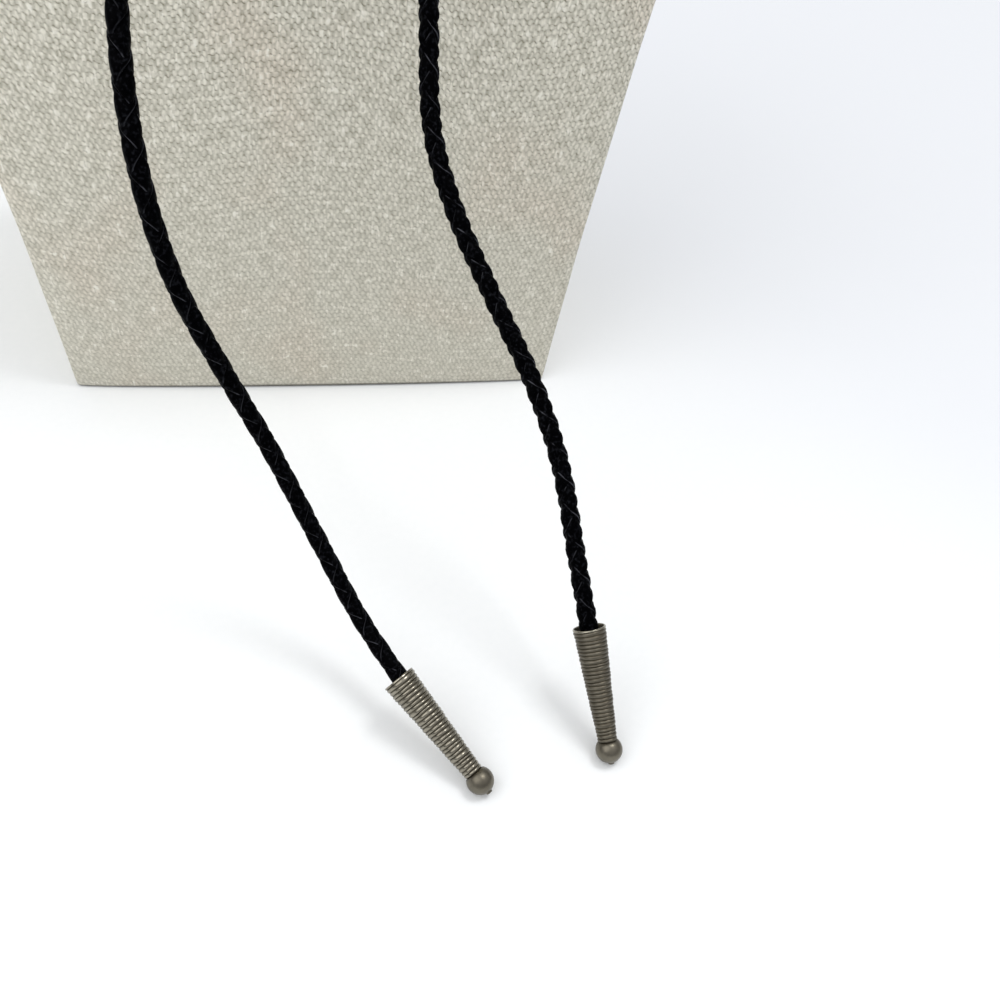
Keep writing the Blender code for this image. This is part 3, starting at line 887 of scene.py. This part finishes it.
def ring_points(level, inset, height):
    """A closed level ring, from the middle of the back round the front and back again."""
    _, half, face, bow, back_bow = level
    # The bows shrink with the width, so that an inset ring never crosses itself.
    shrink = 1 - inset / half
    bow *= shrink
    back_bow *= shrink
    half -= inset
    face += inset
    back = BUST_DEPTH / 2 - inset
    ring = []
    for step in range(BACK_STEPS // 2 + 1):
        turn = math.pi / 2 + math.pi * step / BACK_STEPS
        ring.append((half * math.cos(turn), back - back_bow * (1 - math.sin(turn)), height))
    for step in range(1, SIDE_STEPS):
        ring.append((-half, between(back - back_bow, face + bow, step / SIDE_STEPS), height))
    for step in range(FRONT_STEPS + 1):
        turn = math.pi * step / FRONT_STEPS
        ring.append((-half * math.cos(turn), face + bow * (1 - math.sin(turn)), height))
    mirrored = [(-x, y, z) for x, y, z in reversed(ring[:BACK_STEPS // 2 + SIDE_STEPS])]
    return np.array(ring + mirrored)


rings = []
for step in range(TURN_STEPS):
    turn = math.pi / 2 * step / TURN_STEPS
    inset = BASE_ROUND * (1 - math.sin(turn))
    rings.append(ring_points(levels[0], inset, BASE_ROUND * (1 - math.cos(turn))))
rings.extend(ring_points(level, 0.0, level[0]) for level in levels if level[0] > BASE_ROUND)
for step in range(1, TURN_STEPS + 1):
    turn = math.pi / 2 * step / TURN_STEPS
    inset = TOP_ROUND * (1 - math.cos(turn))
    height = BUST_HEIGHT - TOP_ROUND + TOP_ROUND * math.sin(turn)
    rings.append(ring_points(levels[-1], inset, height))
print("the cover has", len(rings), "rings of", len(rings[0]), "points")

# %% Cloth measured along both threads
last = len(rings[0]) - 1
middle = last // 2
side_seam = BACK_STEPS // 2 + SIDE_STEPS // 2
around_runs = [run_lengths(ring) for ring in rings]
upward_runs = [run_lengths(column) for column in np.array(rings).swapaxes(0, 1)]
print("the cloth is", round(upward_runs[middle][-1], 3), "m high in front")

# %% Linen cover
# The closing faces take cloth from well above the painted shade along the base.
CLOSING_CLOTH = Vector((0.0, 0.2))
BUST_FOLD = 50

cover = bmesh.new()
cloth_layer = cover.loops.layers.uv.new("Cloth")
bmesh.ops.create_grid(cover, x_segments=last, y_segments=len(rings) - 1, size=1.0)
cloth_place = {}
for vert in cover.verts:
    column = round((vert.co.x + 1) / 2 * last)
    row = round((vert.co.y + 1) / 2 * (len(rings) - 1))
    cloth_place[vert] = (column, row)
    vert.co = rings[row][column]
for face in cover.faces:
    columns = [cloth_place[vert][0] for vert in face.verts]
    start = middle
    if max(columns) <= side_seam:
        start = 0
    elif min(columns) >= last - side_seam:
        start = last
    for loop in face.loops:
        column, row = cloth_place[loop.vert]
        lengths = around_runs[row]
        loop[cloth_layer].uv = (lengths[column] - lengths[start], upward_runs[column][row])
bmesh.ops.remove_doubles(cover, verts=cover.verts, dist=MERGE_DISTANCE)
closing = bmesh.ops.holes_fill(cover, edges=cover.edges, sides=0)["faces"]
for face in closing:
    for loop in face.loops:
        loop[cloth_layer].uv = loop.vert.co.xy + CLOSING_CLOTH
bmesh.ops.recalc_face_normals(cover, faces=cover.faces)
bust = finish_piece(cover, "linen_bust", linen, BUST_FOLD)
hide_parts("bust")

# %% [markdown]
# ## Floor and light
# The tie lies on a white sheet in soft light from above: the floor is almost pure white, and the
# tips throw faint soft shadows to the left and a little forward. The sheet is painted a shade
# greyer to the back and right, as painted shade where the light falls off. A world that is
# brighter overhead than at its sides gives the open light. One area light, high up on the right
# and a little behind, gives the shadows their direction. A weaker one on the left in front
# stands for a window and softens them.

# %% Floor
SHEET_HALF = 3.0

floor_paint, shader = start_material("Matt white paper")
place = add(floor_paint, "ShaderNodeTexCoord").outputs["Object"]
# Paper fibre flocks are about 2 mm wide.
fibre = add(floor_paint, "ShaderNodeTexNoise", None,
            {"Vector": place, "Scale": 500.0, "Detail": 3.0}).outputs["Fac"]
colour = add(floor_paint, "ShaderNodeMix", {"data_type": "RGBA"}, {
    "Factor": fibre, 6: linear("#F4F6F6"), 7: linear("#F8F9F9"),
}).outputs[2]
# The sheet is painted a little greyer to the back and right, as painted shade where the light
# falls off.
reach_back = add(floor_paint, "ShaderNodeVectorMath", {"operation": "DOT_PRODUCT"},
                 {0: place, 1: (1.0, 1.0, 0.0)}).outputs["Value"]
grey = add(floor_paint, "ShaderNodeMapRange", {"interpolation_type": "SMOOTHSTEP"},
           {"Value": reach_back, "From Min": -0.06, "From Max": 0.18}).outputs["Result"]
colour = add(floor_paint, "ShaderNodeMix", {"data_type": "RGBA"}, {
    "Factor": grey, 6: colour, 7: linear("#EAECEF"),
}).outputs[2]
connect(floor_paint, shader, {
    "Base Color": colour, "Roughness": 0.9, "Specular IOR Level": 0.2,
})

sheet = bmesh.new()
bmesh.ops.create_grid(sheet, x_segments=8, y_segments=8, size=SHEET_HALF)
floor = make_object(sheet, "floor_sheet", floor_paint)
print("the sheet is", 2 * SHEET_HALF, "m wide")

# %% Open light
scene = bpy.context.scene
scene.view_settings.view_transform = "Standard"
room = bpy.data.worlds.new("Soft white room")
room.use_nodes = True
toward = add(room, "ShaderNodeTexCoord").outputs["Generated"]
# The ceiling is brighter than the walls.
height = add(room, "ShaderNodeSeparateXYZ", None, {"Vector": toward}).outputs["Z"]
open_light = add(room, "ShaderNodeMapRange", None, {
    "Value": height, "From Min": 0.0, "From Max": 1.0, "To Min": 0.25, "To Max": 1.03,
}).outputs["Result"]
background = room.node_tree.nodes["Background"]
connect(room, background, {"Color": linear("#FBFCFF"), "Strength": open_light})
scene.world = room
print("the world has", len(room.node_tree.nodes), "nodes")


# %% Lamps
def area_light(name, spot, target, size, power):
    """A square soft light at a spot that faces a target."""
    data = bpy.data.lights.new(name, "AREA")
    data.shape = "SQUARE"
    data.size = size
    data.energy = power
    lamp = bpy.data.objects.new(name, data)
    lamp.location = spot
    lamp.rotation_euler = (Vector(target) - Vector(spot)).to_track_quat("-Z", "Y").to_euler()
    scene.collection.objects.link(lamp)
    print(name, "gives", power, "W")


area_light(
    "Ceiling lamp", spot=(0.74, 0.1, 2.31), target=(0.02, -0.12, 0.05), size=0.7, power=15.0
)
area_light("Window", spot=(-0.7, -0.4, 0.9), target=(0.0, -0.1, 0.0), size=1.0, power=4.5)
